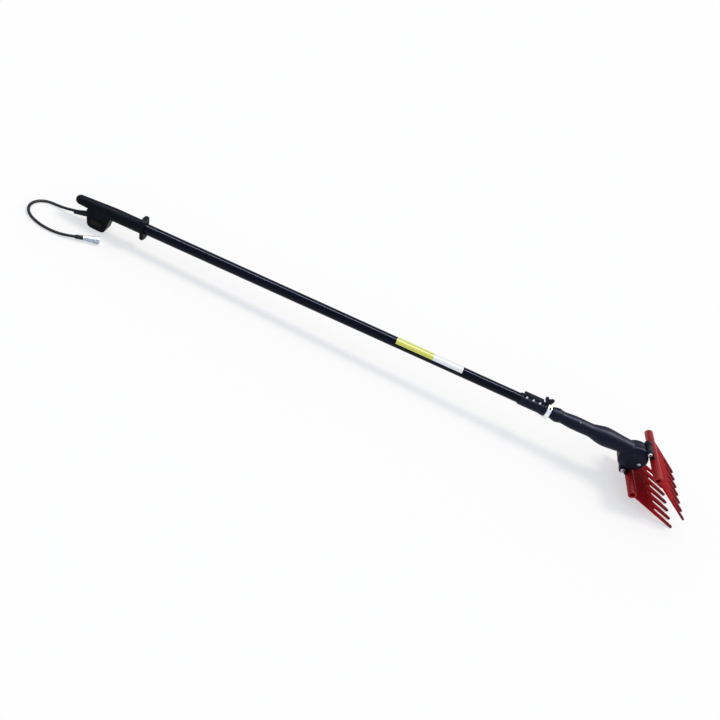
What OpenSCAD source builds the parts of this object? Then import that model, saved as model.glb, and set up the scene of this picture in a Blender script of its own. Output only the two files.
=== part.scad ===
// Electric olive harvester: a switch handle, a telescoping pole, a motor head and two rocking combs.
// The tool lies on the floor, on its switch box and on the tine tips of its lower comb.
// Millimetres. Each piece is drawn along the pole, X from handle to head, and laid down by lay().

/* [Pole] */
// Outer diameter of the outer tube
tube_d = 31; // [30:0.5:31.5]
// Wall of both tubes
tube_wall = 1.5; // [1.2:0.1:1.8]
// Radial gap between the two tubes
slide_gap = 0.5; // [0.4:0.05:0.7]
// Distance from the handle's end to the front of the collar
pole_len = 1463; // [1300:1:1600]
// Length of inner tube inside the outer tube when collapsed
overlap_len = 650; // [500:1:800]

/* [Handle] */
// Diameter of the grip in front of the switch box
grip_d = 38; // [37:0.5:40]
// Diameter of the grip's domed end
grip_end_d = 27.5; // [27:0.5:30]
// Distance from the handle's end to the middle of the hand guard
guard_x = 199; // [180:1:220]
// Height of the hand guard
guard_d = 69; // [67:1:76]
// Width of the hand guard between its flat sides
guard_w = 40; // [39:0.5:46]
// Thickness of the hand guard
guard_t = 10; // [9:0.5:12]
// Backward lean of the hand guard
guard_lean = 8; // [4:1:12]
// Start of the switch box, from the handle's end
box_x = 37; // [36:1:44]
// Length of the switch box under the grip
box_len = 73; // [70:1:80]
// Width of the switch box
box_w = 35; // [34:1:37]
// Depth of the switch box below the pole's axis
box_drop = 62; // [58:1:68]
// Wall of the switch box
box_wall = 3; // [2.5:0.1:3.5]

/* [Switch] */
// Length of the switch bezel
bezel_len = 31; // [30:0.5:34]
// Height of the switch bezel
bezel_h = 17; // [16:0.5:19]
// Tilt of the switch rocker either side of level
rocker_tilt = 8; // [5:0.5:9]

/* [Cable] */
// Diameter of the supply cable
cable_d = 8; // [7.8:0.1:8.4]
// Length of the strain relief outside the box
gland_len = 38; // [34:1:40]
// Outer diameter of the plug's coupling nut
nut_d = 21; // [20:0.1:21.4]
// Length of the coupling nut
nut_len = 15; // [13:0.5:17]

/* [Collar] */
// Outer diameter of the collar
collar_d = 36.5; // [36:0.5:38]
// Length of the collar
collar_len = 98; // [94:1:104]
// Length of the bolted ridge
ridge_len = 61; // [58:1:64]
// Width of the bolted ridge
ridge_w = 14; // [13:0.5:16]
// Distance between the ridge bolts
bolt_pitch = 21; // [18:0.5:23]
// Outer diameter of the metal clamp ring
ring_d = 50; // [46:0.5:52]
// Width of the clamp ring
ring_w = 13; // [12:0.5:14]
// Span of the wing screw
wing_span = 26; // [22:1:30]
// Height of the wing screw above the ring
wing_h = 17; // [15:0.5:20]

/* [Motor housing] */
// Gap between the collar and the housing
house_gap = 4; // [3:0.5:6]
// Length of the housing from its rear face to the gear case
house_len = 257; // [252:1:262]
// Largest radius of the housing
swell_r = 29; // [28.5:0.1:30]
// Wall of the housing
house_wall = 2.8; // [2.6:0.1:3]
// Length of inner tube held in the housing
socket_len = 87; // [78:1:90]
// Radius of the motor
motor_r = 18; // [17.5:0.1:18.2]
// Length of the motor's can
motor_len = 50; // [46:1:52]

/* [Gear case] */
// Radius of the gear case
case_r = 40.4; // [39.8:0.1:40.7]
// Thickness of the gear case
case_w = 54; // [53:0.5:56]
// Drop of the gear case's middle below the pole's axis
head_drop = 21; // [19:0.5:22]
// Forward lean of the two comb pivots
head_tilt = 18; // [16:0.5:20]
// Distance from the middle of the head to each comb pivot
pivot_reach = 48; // [47.5:0.1:48.5]

/* [Combs] */
// Width of each comb
comb_w = 207; // [203:1:215]
// Number of tines
tines = 7; // [5:1:8]
// Distance from the spine to the tine tips
tine_len = 179; // [160:1:190]
// Diameter of the tubular spine
spine_d = 25; // [24:0.5:26]
// Bore of the spine
spine_bore = 14; // [12:0.5:15]
// Thickness of the tines
tine_t = 5; // [4.5:0.5:6.5]
// Width of a tine at its tip
tip_w = 10.5; // [9:0.5:12]
// Distance from a comb's pivot to its spine
arm_len = 31; // [30.5:0.1:32]
// Droop of the lower comb below the pole's axis, at rest
lower_droop = 18; // [17:0.5:20]
// Droop of the upper comb below the pole's axis, at rest
upper_droop = 32; // [30:0.5:33]

/* [Hidden] */
$fn = 64;

// Shared fits
overrun = 1;
press_gap = 0.05;
run_gap = 0.06;
free_gap = 0.4;
near = -1;
far = 1;

// Pole
tube_r = tube_d / 2;
bore_r = tube_r - tube_wall;
inner_r = bore_r - slide_gap;
inner_bore_r = inner_r - tube_wall;
tube_x = 92;
bush_len = 30;
bush_flange = 12;
lead_r = 3;
spiral_r = 8;
spiral_x = 160;
inner_x = pole_len - overlap_len;

// Handle
grip_r = grip_d / 2;
grip_end_r = grip_end_d / 2;
taper_x = 112;
guard_r = guard_d / 2;
box_end = box_x + box_len;
box_slope_rear = 11;
box_slope_front = 13;
box_corner = 14;
box_mid_x = box_x + box_len / 2;
grip_screw_z = -52;
grip_screw_inset = 20;
grip_screw_front = 24;
guard_screw_z = 23;
guard_screw_y = guard_w / 2;
rear_screw_share = 0.8;
case_screw_r = 2;
case_head_r = 3.5;
case_head_t = 2.4;
case_boss_r = 5;
screw_sink = 1;
screw_tail = 9;

// Switch, seated in the near wall of the box
switch_x = box_mid_x;
switch_z = -39;
switch_wall = 1.4;
bezel_t = 1.6;
bezel_rim = 2.6;
switch_depth = 15;
rocker_gap = 0.5;
switch_len = bezel_len - 2 * bezel_rim;
switch_h = bezel_h - bezel_rim;
rocker_len = switch_len - 2 * switch_wall - 2 * rocker_gap;
rocker_h = switch_h - 2 * switch_wall - 2 * rocker_gap;
rocker_proud = 2.6;
rocker_dip = 1.3;
rocker_deep = 2.2;
rocker_keel = 4.4;
rocker_pocket = 7;
rocker_pin_r = 1.2;
rocker_pin_bite = 1;
blade_t = 0.8;
blade_w = 4.8;
blade_len = 7;
blade_gap = 10;
switch_y = -box_w / 2;

// Cable and plug
cable_r = cable_d / 2;
gland_root_r = 8;
gland_tip_r = 5.6;
gland_room = 10;
gland_flange_t = 3;
gland_dip = 17;
gland_ribs = 4;
rib_width_share = 0.6;
rib_depth = 0.8;
gland_z = -35;
gland_hold = 12;
plug_at = [-924, -96, 9.6];
plug_heading = 27;
plug_rise = 1.5;
boot_len = 20;
boot_taper_share = 0.2;
boot_r = 6;
boot_root_r = 5;
shell_len = 42;
shell_neck_share = 0.15;
shell_step_share = 0.3;
shell_root_r = 6.5;
shell_r = 8;
shell_thread_r = 8.6;
nut_r = nut_d / 2;
nut_x = boot_len + shell_len - nut_len;
nut_wall = 1.6;
nut_flutes = 18;
flute_r = 0.7;
flute_len_share = 0.5;
insert_len = 12;
insert_recess = 2;
insert_x = boot_len + shell_len - insert_len - insert_recess;
pin_r = 1.2;
pin_len = 15;
pin_circle_r = 3.4;
pin_count = 3;

// The cable's route from the strain relief to the plug's boot, along the floor
cable_route = [
    [-972, 0, 18], [-984, 0, 14.8], [-1000, 0, 10.8], [-1016, 1, 7.2], [-1034, 2, 4.9], [-1052, 0, 4.3],
    [-1066, -8, 4.2], [-1076, -22, 4.2], [-1080, -40, 4.2], [-1077, -58, 4.2], [-1069, -74, 4.2],
    [-1056, -88, 4.2], [-1040, -98, 4.2], [-1022, -105, 4.2], [-1004, -109, 4.2], [-986, -110, 4.3],
    [-970, -109, 4.8], [-956, -107, 6], [-944, -104, 7.5], [-932, -100, 9], [-920, -94, 9.7]
];
cable_sides = 10;

// Collar, clamp ring and wing screw
collar_r = collar_d / 2;
collar_x = pole_len - collar_len;
ridge_inset = 6;
ridge_x = collar_x + ridge_inset;
ridge_top = 27;
ridge_bolt_z = 18.5;
ridge_bolt_r = 2;
ridge_head_r = 3.6;
ridge_head_t = 2.6;
ridge_nut_r = 4;
ridge_nut_t = 3.2;
ridge_slit = 2;
lip_r = 20;
lip_w = 10;
ring_r = ring_d / 2;
ring_inset = 1.5;
ring_x = pole_len - ring_w - ring_inset;
ring_edge = 1;
wing_x = ring_x - lip_w / 2;
seat_step = 0.5;
seat_r = collar_r - seat_step;
wing_t = 8;
wing_hub_r = 5;
wing_stem_r = 3;
wing_neck_r = 4;
wing_foot = 3;
wing_waist_share = 0.58;
wing_tip_share = 0.5;
wing_inner_share = 0.22;
wing_valley_share = 0.68;
wing_hub_share = 0.4;

// Motor housing, a wavy body of revolution: shares of its length and of its largest radius
house_x = pole_len + house_gap;
house_shares = [
    [0, 0.57], [0.03, 0.64], [0.09, 0.745], [0.16, 0.628], [0.284, 0.72], [0.42, 0.722], [0.518, 0.71],
    [0.603, 0.87], [0.693, 1], [0.805, 0.945], [0.907, 0.86], [1, 0.81], [1.062, 0.74], [1.125, 0.5]
];
profile_steps = 4;
cavity_start_share = 0.562;
rib_t = 4;
wire_r = 5;

// Head: pivots, crank and motor axis
head_lead = 40;
head_x = house_x + house_len + head_lead;
case_back = 8;
case_round = 12;
case_boss_w = 37;
cheek_r = 46;
cheek_w = 46;
cheek_round = 10;
cheek_front = 6;
lug_r = 10.5;
lug_w = 50;
hub_w = 27;
hub_r = 9;
hub_room = 3.5;
pivot_r = 4;
bush_wall = 1.5;
pivot_head_r = 6.2;
pivot_head_t = 3;
pivot_nut_r = 6;
pivot_nut_t = 4;
crank_back = 16;
motor_tilt = 9;
motor_front = 70;
motor_bell_len = 6;
motor_boss_r = 7;
motor_boss_t = 3;
motor_shaft_r = 2.5;
rib_places = [80, 114];
lead_clear = 1.6;

// Gears: a small pinion on the motor's shaft turns a crown gear on the crank shaft
gear_module = 1;
pinion_teeth = 12;
crown_teeth = 42;
pressure_angle = 20;
tooth_tip_share = 0.9;
tooth_root_share = 1.25;
pinion_tooth_share = 0.4;
crown_tooth_share = 0.34;
flank_steps = 5;
face_w = 5;
pinion_pitch_r = gear_module * pinion_teeth / 2;
crown_pitch_r = gear_module * crown_teeth / 2;
tooth_tip = gear_module * tooth_tip_share;
tooth_root = gear_module * tooth_root_share;
pinion_x = -crown_pitch_r - face_w / 2;
crown_face_y = pinion_pitch_r + tooth_root;
crown_disc_t = 4.5;
crown_back_y = crown_face_y + crown_disc_t;
crank_shaft_r = 5;
bearing_r = 11;
bearing_w = 7;
bearing_gap = 1.3;
bearing_y = crown_back_y + bearing_gap;
boss_wall = 3;

// Yoke between the crank pin and the two rocker tails
tail_len = 22;
tail_w = 9;
tail_t = 6;
yoke_t = 3;
yoke_y = 0.5;
tail_y = -tail_t;
yoke_pin_r = 2.5;
yoke_bar_w = 9;
yoke_end = 5;
slot_frame = 4;
crank_pin_r = 3;
stroke_open = 11.5;
stroke_close = 4.5;
deg = PI / 180;
crank_r = tail_len * (stroke_open + stroke_close) / 2 * deg;
yoke_shift = -tail_len * (stroke_open - stroke_close) / 2 * deg;
crank_rest = asin(yoke_shift / crank_r);
web_t = 1.5;
web_r = crank_r + crank_pin_r + overrun;
slot_gap = 0.15;
slot_play = 0.7;
rod_r = 3;
rod_y = -5;
rod_start = -29;
rod_end = 27;
post_t = 5;
post_h = 12;
sleeve_r = 5.5;
sleeve_start = -3;
sleeve_end = 15;

// Combs
spine_r = spine_d / 2;
pitch = (comb_w - tip_w) / (tines - 1);
root_share = 0.56;
root_gap = 15;
arc_steps = 6;
saddle_w = 54;
saddle_t = 6;
saddle_half = 6;
saddle_reach = 4;
arm_t = 10;
comb_bolt_y = 19.5;
comb_bolt_r = 2.5;
comb_bolt_head_r = 4.4;
comb_bolt_head_t = 3;
comb_bolt_bite = 3.2;

// Places worked out from the sizes above, in the pole's plane (x, z)
function along(a, d) = [d * cos(a), -d * sin(a)];
function head_point(x, z) =
    [head_x + x * cos(head_tilt) + z * sin(head_tilt), -head_drop - x * sin(head_tilt) + z * cos(head_tilt)];
upper_pivot = head_point(0, pivot_reach);
lower_pivot = head_point(0, -pivot_reach);
crank_at = head_point(-crank_back, 0);
case_at = head_point(-case_back, 0);
upper_spine = upper_pivot + along(upper_droop, arm_len);
lower_spine = lower_pivot + along(lower_droop, arm_len);
upper_tip = upper_spine + along(upper_droop, tine_len);
lower_tip = lower_spine + along(lower_droop, tine_len);

// Lie of the tool: the floor touches the box's bottom and the lower edge of the lower tine tips
tip_low = lower_tip + (tine_t / 2) * [-sin(lower_droop), -cos(lower_droop)];
lie = atan2(-tip_low[1] - box_drop, tip_low[0] - box_mid_x);
function floor_z(x) = -box_drop - (x - box_mid_x) * tan(lie);
axis_h = -floor_z(0) * cos(lie);
function flat_x(p) = p[0] * cos(lie) - p[1] * sin(lie);
upper_tip_edge = upper_tip + (tine_t / 2) * [-sin(upper_droop), -cos(upper_droop)];
upper_tip_top = upper_tip + (tine_t / 2) * [sin(upper_droop), cos(upper_droop)];
front_reach = max(flat_x(upper_tip_edge), flat_x(upper_tip_top), flat_x(tip_low), flat_x(lower_tip));
rear_reach = flat_x([grip_end_r, 0]) - grip_end_r;
mid_x = (front_reach + rear_reach) / 2;

// Lays the tool, drawn along the pole, on the floor
module lay() {
    translate([-mid_x, 0, axis_h]) rotate([0, -lie, 0]) children();
}

// A solid of revolution about X from a list of [place along X, radius]
module turned(places) {
    profile = concat(
        [[0, places[0][0]]],
        [for (p = places) [p[1], p[0]]],
        [[0, places[len(places) - 1][0]]]
    );
    rotate([0, 90, 0]) rotate_extrude() polygon(profile);
}

// A round bar along X
module bar_x(x, length, r) {
    translate([x, 0, 0]) rotate([0, 90, 0]) cylinder(h = length, r = r);
}

// A round bar along Y at a place (x, z)
module bar_y(p, y, length, r) {
    translate([p[0], y, p[1]]) rotate([-90, 0, 0]) cylinder(h = length, r = r);
}

// A flat shape drawn in (x, z), thick along Y
module slab_y(y, t) {
    translate([0, y + t, 0]) rotate([90, 0, 0]) linear_extrude(t) children();
}

// A block given by its low corner and its size
module block(corner, size) {
    translate(corner) cube(size);
}

// Points of an outline whose corners are rounded by arcs
function corner_arc(a, b, c, r) =
    let (
        u = (a - b) / norm(a - b),
        v = (c - b) / norm(c - b),
        half = acos(u * v) / 2,
        centre = b + (u + v) / norm(u + v) * r / sin(half),
        from = b + u * r / tan(half) - centre,
        to = b + v * r / tan(half) - centre,
        start = atan2(from[1], from[0]),
        turn = atan2(from[0] * to[1] - from[1] * to[0], from * to)
    )
    [for (i = [0:arc_steps]) let (a = start + turn * i / arc_steps) centre + r * [cos(a), sin(a)]];
function rounded(points, r) =
    let (n = len(points))
    [for (i = [0:n - 1]) each corner_arc(points[(i + n - 1) % n], points[i], points[(i + 1) % n], r)];

// Keeps one side of the split plane at y = 0
module half(side, x, length, depth) {
    intersection() {
        children();
        block([x, side > 0 ? 0 : -depth, -depth], [length, depth, 2 * depth]);
    }
}

// A screw along Y: its head at the near end and a plain shank
module screw_y(p, y, length, shank_r, head_r, head_t) {
    bar_y(p, y, head_t, head_r);
    bar_y(p, y + head_t, length, shank_r);
}

// Handle

box_outline = rounded([
    [box_x, 0],
    [box_x + box_slope_rear, floor_z(box_x + box_slope_rear)],
    [box_end - box_slope_front, floor_z(box_end - box_slope_front)],
    [box_end, 0]
], box_corner);

// Screws of the handle in (x, z), and how far out their heads sit on the far side
grip_screw_table = [
    [[grip_end_r, 0], grip_end_r * rear_screw_share],
    [[box_x + grip_screw_inset, grip_screw_z], box_w / 2],
    [[box_end - grip_screw_front, grip_screw_z], box_w / 2],
    [guard_point(guard_screw_z), guard_screw_y],
    [guard_point(-guard_screw_z), guard_screw_y]
];
function guard_point(up) = [guard_x - up * sin(guard_lean), up * cos(guard_lean)];

module grip_form() {
    dome = [for (i = [0:2 * arc_steps]) let (a = 90 * i / (2 * arc_steps)) grip_end_r * [1 - cos(a), sin(a)]];
    rim = [for (i = [0:2 * arc_steps]) let (a = 180 * i / (2 * arc_steps) - 90)
        [guard_t / 2 * sin(a), guard_r - guard_t / 2 + guard_t / 2 * cos(a)]];
    turned(concat(dome, [[taper_x, grip_r], [guard_x, grip_r]]));
    translate([guard_x, 0, 0]) rotate([0, -guard_lean, 0]) intersection() {
        turned(rim);
        block([-guard_t, -guard_w / 2, -guard_d], [2 * guard_t, guard_w, 2 * guard_d]);
    }
    slab_y(-box_w / 2, box_w) polygon(box_outline);
}

module grip_room() {
    bar_x(tube_x, guard_x + guard_t, tube_r + press_gap);
    difference() {
        slab_y(-box_w / 2 + box_wall, box_w - 2 * box_wall) offset_outline(box_wall);
        block([box_x, -box_w, -grip_r], [box_len, 2 * box_w, 2 * grip_r]);
        for (i = [1, 2]) bar_y(grip_screw_table[i][0], -box_w / 2, box_w, case_boss_r);
    }
    translate([box_x, 0, gland_z]) rotate([0, -gland_dip, 0])
        bar_x(-gland_room, gland_room + gland_hold, gland_root_r + press_gap);
    bar_x(box_mid_x - lead_r, tube_x - box_mid_x + lead_r + overrun, lead_r + free_gap);
    translate([box_mid_x, 0, -grip_r - overrun]) cylinder(h = grip_r + overrun, r = lead_r);
}

// The box's outline, drawn in by a wall
module offset_outline(wall) {
    polygon(rounded([
        [box_x + wall, 0],
        [box_x + box_slope_rear + wall, floor_z(box_x + box_slope_rear) + wall],
        [box_end - box_slope_front - wall, floor_z(box_end - box_slope_front) + wall],
        [box_end - wall, 0]
    ], box_corner - wall));
}

module grip_holes() {
    mirror([0, 1, 0]) for (row = grip_screw_table) {
        bar_y(row[0], -row[1] - guard_r, guard_r + screw_sink + case_head_t, case_head_r + press_gap);
        bar_y(row[0], -row[1], row[1] + screw_tail, case_screw_r + press_gap);
    }
    switch_cut();
}

module switch_cut() {
    length = switch_len + 2 * press_gap;
    height = switch_h + 2 * press_gap;
    depth = box_wall + 2 * overrun;
    block([switch_x - length / 2, switch_y - overrun, switch_z - height / 2], [length, depth, height]);
}

module grip_half(side) {
    lay() half(side, -overrun, guard_x + guard_r, guard_d) difference() {
        grip_form();
        grip_room();
        grip_holes();
    }
}

module grip_shell_near() {
    color([0.07, 0.07, 0.08]) grip_half(near);
}

module grip_shell_far() {
    color([0.07, 0.07, 0.08]) grip_half(far);
}

module grip_screws() {
    color("silver") lay() mirror([0, 1, 0]) for (row = grip_screw_table) {
        head_y = screw_sink - row[1];
        shank = screw_tail - overrun - head_y - case_head_t;
        screw_y(row[0], head_y, shank, case_screw_r, case_head_r, case_head_t);
    }
}

module outer_tube() {
    color([0.03, 0.03, 0.035]) lay() difference() {
        bar_x(tube_x, pole_len - ring_w - tube_x, tube_r);
        bar_x(tube_x - overrun, pole_len, bore_r);
    }
}

// Switch

module switch_at() {
    lay() translate([switch_x, switch_y, switch_z]) children();
}

module switch_body() {
    pocket_len = rocker_len + 2 * rocker_gap;
    pocket_h = rocker_h + 2 * rocker_gap;
    pin_room = pocket_h + 2 * rocker_pin_bite + 2 * run_gap;
    color([0.05, 0.05, 0.05]) switch_at() difference() {
        union() {
            block([-bezel_len / 2, -bezel_t, -bezel_h / 2], [bezel_len, bezel_t, bezel_h]);
            block([-switch_len / 2, 0, -switch_h / 2], [switch_len, switch_depth, switch_h]);
        }
        block([-pocket_len / 2, -bezel_t - overrun, -pocket_h / 2],
            [pocket_len, bezel_t + overrun + rocker_pocket, pocket_h]);
        cylinder(h = pin_room, r = rocker_pin_r + run_gap, center = true);
    }
}

module switch_terminals() {
    color("gold") switch_at() for (side = [-1, 1])
        block([side * blade_gap / 2 - blade_t / 2, switch_depth, -blade_w / 2], [blade_t, blade_len, blade_w]);
}

module switch_rocker() {
    face = [
        [-rocker_len / 2, -rocker_proud], [0, -rocker_dip], [rocker_len / 2, -rocker_proud],
        [rocker_len / 2, rocker_deep], [0, rocker_keel], [-rocker_len / 2, rocker_deep]
    ];
    color([0.2, 0.03, 0.03]) switch_at() rotate([0, 0, rocker_tilt]) {
        linear_extrude(rocker_h, center = true) polygon(face);
        cylinder(h = rocker_h + 2 * rocker_gap + 2 * rocker_pin_bite, r = rocker_pin_r, center = true);
    }
}

// Cable and plug

module strain_relief() {
    step = (gland_len - gland_flange_t) / gland_ribs;
    ribs = [for (i = [0:gland_ribs - 1]) each let (
            x = -gland_len + i * step,
            r = gland_tip_r + (gland_root_r - gland_tip_r) * (i + 1) / gland_ribs
        )
        [
            [x, r], [x + step * rib_width_share, r],
            [x + step * rib_width_share, r - rib_depth], [x + step, r - rib_depth]
        ]];
    color([0.06, 0.06, 0.06]) lay() translate([box_x, 0, gland_z]) rotate([0, -gland_dip, 0]) difference() {
        turned(concat(ribs, [[-gland_flange_t, gland_root_r], [gland_hold, gland_root_r]]));
        bar_x(-gland_len - overrun, gland_len + gland_hold + 2 * overrun, cable_r + press_gap);
    }
}

// A ring of points round the route at one place, square to the way the cable runs there
function route_way(i) =
    let (n = len(cable_route), a = cable_route[max(i - 1, 0)], b = cable_route[min(i + 1, n - 1)])
    (b - a) / norm(b - a);
function route_ring(i) =
    let (way = route_way(i), side = cross([0, 0, 1], way), s = side / norm(side), up = cross(way, s))
    [for (k = [0:cable_sides - 1]) let (a = 360 * k / cable_sides)
        cable_route[i] + cable_r * (cos(a) * s + sin(a) * up)];

module supply_cable() {
    n = len(cable_route);
    points = [for (i = [0:n - 1]) each route_ring(i)];
    walls = [for (i = [0:n - 2]) for (k = [0:cable_sides - 1])
        let (a = i * cable_sides + k, b = i * cable_sides + (k + 1) % cable_sides)
        each [[a, a + cable_sides, b + cable_sides], [a, b + cable_sides, b]]];
    first = [for (k = [1:cable_sides - 2]) [0, k, k + 1]];
    base = (n - 1) * cable_sides;
    last = [for (k = [1:cable_sides - 2]) [base, base + k + 1, base + k]];
    color([0.05, 0.05, 0.05]) polyhedron(points, concat(walls, first, last));
}

module plug_place() {
    translate(plug_at) rotate([0, 0, plug_heading]) rotate([0, -plug_rise, 0]) children();
}

module plug_boot() {
    color([0.05, 0.05, 0.05]) plug_place() difference() {
        turned([[0, boot_root_r], [boot_len * boot_taper_share, boot_r], [boot_len, boot_r]]);
        bar_x(-overrun, boot_len + 2 * overrun, cable_r + press_gap);
    }
}

module plug_shell() {
    end_x = boot_len + shell_len;
    color("silver") plug_place() difference() {
        turned([
            [boot_len, shell_root_r], [boot_len + shell_len * shell_neck_share, shell_root_r],
            [boot_len + shell_len * shell_step_share, shell_r], [nut_x - overrun, shell_r],
            [nut_x - overrun, shell_thread_r], [end_x, shell_thread_r]
        ]);
        bar_x(boot_len - overrun, shell_len + 2 * overrun, shell_root_r - nut_wall);
    }
}

module plug_insert() {
    color([0.08, 0.08, 0.08]) plug_place() difference() {
        bar_x(insert_x, insert_len, shell_root_r - nut_wall - press_gap);
        pin_places() bar_x(-overrun, pin_len, pin_r + press_gap);
    }
}

module pin_places() {
    for (i = [0:pin_count - 1])
        translate([insert_x, 0, 0]) rotate([360 * i / pin_count, 0, 0]) translate([0, pin_circle_r, 0]) children();
}

module plug_pins() {
    color("gold") plug_place() pin_places() bar_x(0, pin_len - 2 * overrun, pin_r);
}

module plug_nut() {
    flute_x = nut_x + nut_len * (1 - flute_len_share) / 2;
    color("silver") plug_place() difference() {
        turned([
            [nut_x, nut_r - flute_r], [nut_x + flute_r, nut_r], [nut_x + nut_len - flute_r, nut_r],
            [nut_x + nut_len, nut_r - flute_r]
        ]);
        bar_x(nut_x - overrun, nut_len + 2 * overrun, shell_thread_r + run_gap);
        for (i = [0:nut_flutes - 1]) rotate([360 * (i + 0.5) / nut_flutes, 0, 0]) translate([0, nut_r, 0])
            bar_x(flute_x, nut_len * flute_len_share, flute_r);
    }
}

// Collar, clamp ring and wing screw

function ridge_bolt_at(i) = [ridge_x + ridge_len / 2 + (i - 1) * bolt_pitch, ridge_bolt_z];

module collar() {
    color([0.06, 0.06, 0.07]) lay() difference() {
        union() {
            turned([
                [collar_x, collar_r - tube_wall], [collar_x + tube_wall, collar_r],
                [ring_x - lip_w - overrun, collar_r], [ring_x - lip_w, lip_r], [ring_x - overrun / 2, lip_r],
                [ring_x - overrun / 2, seat_r], [pole_len, seat_r]
            ]);
            block([ridge_x, -ridge_w / 2, 0], [ridge_len, ridge_w, ridge_top]);
        }
        bar_x(collar_x - overrun, pole_len - ring_w - collar_x + overrun, tube_r + press_gap);
        bar_x(collar_x, collar_len + overrun, inner_r + run_gap);
        translate([wing_x, 0, 0]) cylinder(h = collar_d, r = wing_stem_r + run_gap);
        block([collar_x - overrun, -ridge_slit / 2, 0],
            [collar_len + 2 * overrun, ridge_slit, ridge_top + overrun]);
        for (i = [0:2]) {
            bar_y(ridge_bolt_at(i), -ridge_w, 2 * ridge_w, ridge_bolt_r + press_gap);
            bar_y(ridge_bolt_at(i), -ridge_w / 2 - collar_r, collar_r, ridge_head_r + free_gap);
            bar_y(ridge_bolt_at(i), ridge_w / 2, collar_r, ridge_nut_r + free_gap);
        }
    }
}

module collar_bolts() {
    head_y = -ridge_w / 2 - ridge_head_t;
    color("silver") lay() for (i = [0:2])
        screw_y(ridge_bolt_at(i), head_y, ridge_w + ridge_nut_t, ridge_bolt_r, ridge_head_r, ridge_head_t);
}

module collar_nuts() {
    color("silver") lay() for (i = [0:2]) difference() {
        translate([ridge_bolt_at(i)[0], ridge_w / 2, ridge_bolt_z]) rotate([-90, 0, 0])
            cylinder(h = ridge_nut_t, r = ridge_nut_r, $fn = 6);
        bar_y(ridge_bolt_at(i), 0, 2 * ridge_w, ridge_bolt_r + press_gap);
    }
}

module clamp_ring() {
    color([0.85, 0.86, 0.88]) lay() difference() {
        turned([
            [ring_x, ring_r - ring_edge], [ring_x + ring_edge, ring_r],
            [ring_x + ring_w - ring_edge, ring_r], [ring_x + ring_w, ring_r - ring_edge]
        ]);
        bar_x(ring_x - overrun, ring_w + 2 * overrun, seat_r + press_gap);
    }
}

module wing_screw() {
    base_z = ring_r + free_gap;
    neck_z = lip_r + free_gap;
    stem_z = tube_r + free_gap;
    waist = wing_span * wing_waist_share;
    inner = wing_span * wing_inner_share;
    tip_z = wing_h * wing_tip_share;
    wing = [
        [-waist / 2, 0], [waist / 2, 0], [waist / 2, wing_foot], [wing_span / 2, tip_z], [wing_span / 2, wing_h],
        [inner, wing_h], [0, wing_h * wing_valley_share], [-inner, wing_h], [-wing_span / 2, wing_h],
        [-wing_span / 2, tip_z], [-waist / 2, wing_foot]
    ];
    color([0.06, 0.06, 0.07]) lay() translate([wing_x, 0, 0]) {
        translate([0, 0, base_z]) slab_y(-wing_t / 2, wing_t) polygon(wing);
        translate([0, 0, base_z]) cylinder(h = wing_h * wing_hub_share, r = wing_hub_r);
        translate([0, 0, neck_z]) cylinder(h = base_z - neck_z + wing_foot, r = wing_neck_r);
        translate([0, 0, stem_z]) cylinder(h = neck_z - stem_z + wing_foot, r = wing_stem_r);
    }
}

// Leads and inner tube

module spiral_lead() {
    end_x = inner_x - bush_flange;
    color([0.1, 0.1, 0.1]) lay() turned([
        [box_mid_x, lead_r], [spiral_x, lead_r], [spiral_x, spiral_r], [end_x - spiral_r, spiral_r],
        [end_x - spiral_r, lead_r], [end_x, lead_r]
    ]);
}

module inner_tube() {
    color([0.03, 0.03, 0.035]) lay() difference() {
        bar_x(inner_x, house_x + socket_len - inner_x, inner_r);
        bar_x(inner_x - overrun, house_x + socket_len, inner_bore_r);
    }
}

module guide_bush() {
    color([0.8, 0.8, 0.76]) lay() difference() {
        union() {
            bar_x(inner_x - bush_flange, bush_flange, bore_r - run_gap);
            bar_x(inner_x, bush_len - bush_flange, inner_bore_r - press_gap);
        }
        bar_x(inner_x - bush_len, 2 * bush_len, lead_r + press_gap);
    }
}

module motor_lead() {
    start = inner_x - bush_flange;
    color([0.1, 0.1, 0.1]) lay() bar_x(start, motor_rear_x() - lead_clear - start, lead_r);
}

// Motor housing

function catmull(a, b, c, d, t) =
    (2 * b + (c - a) * t + (2 * a - 5 * b + 4 * c - d) * t * t + (3 * b - a - 3 * c + d) * t * t * t) / 2;
function house_point(i, t) =
    let (
        s = house_shares,
        n = len(s) - 1,
        p = catmull(s[max(i - 1, 0)], s[i], s[i + 1], s[min(i + 2, n)], t)
    )
    [house_x + p[0] * house_len, p[1] * swell_r];
house_profile = concat(
    [for (i = [0:len(house_shares) - 2]) for (s = [0:profile_steps - 1]) house_point(i, s / profile_steps)],
    [house_point(len(house_shares) - 2, 1)]
);

module in_head() {
    translate([head_x, 0, -head_drop]) rotate([0, head_tilt, 0]) children();
}

module along_motor() {
    translate([crank_at[0], 0, crank_at[1]]) rotate([0, motor_tilt, 0]) children();
}

function motor_rear_x() = crank_at[0] - (motor_front + motor_len + motor_bell_len) * cos(motor_tilt);

// Screws of the housing in (x, z): heads on the near side at the tube and on the far side of the gear case
tube_screw_gap = 3.5;
tube_screw_z = 15.2;
tube_screw_y = 11;
rear_screw_x = -30.5;
rear_screw_z = 26.3;
front_screw_x = 22;
front_screw_z = 15;
tube_screws = [for (side = [1, -1]) [house_x + socket_len + tube_screw_gap, side * tube_screw_z]];
case_screws = [for (side = [1, -1]) each
    [head_point(rear_screw_x, side * rear_screw_z), head_point(front_screw_x, side * front_screw_z)]];
case_sink = 5.5;
case_screw_y = case_w / 2 - case_sink;

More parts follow.
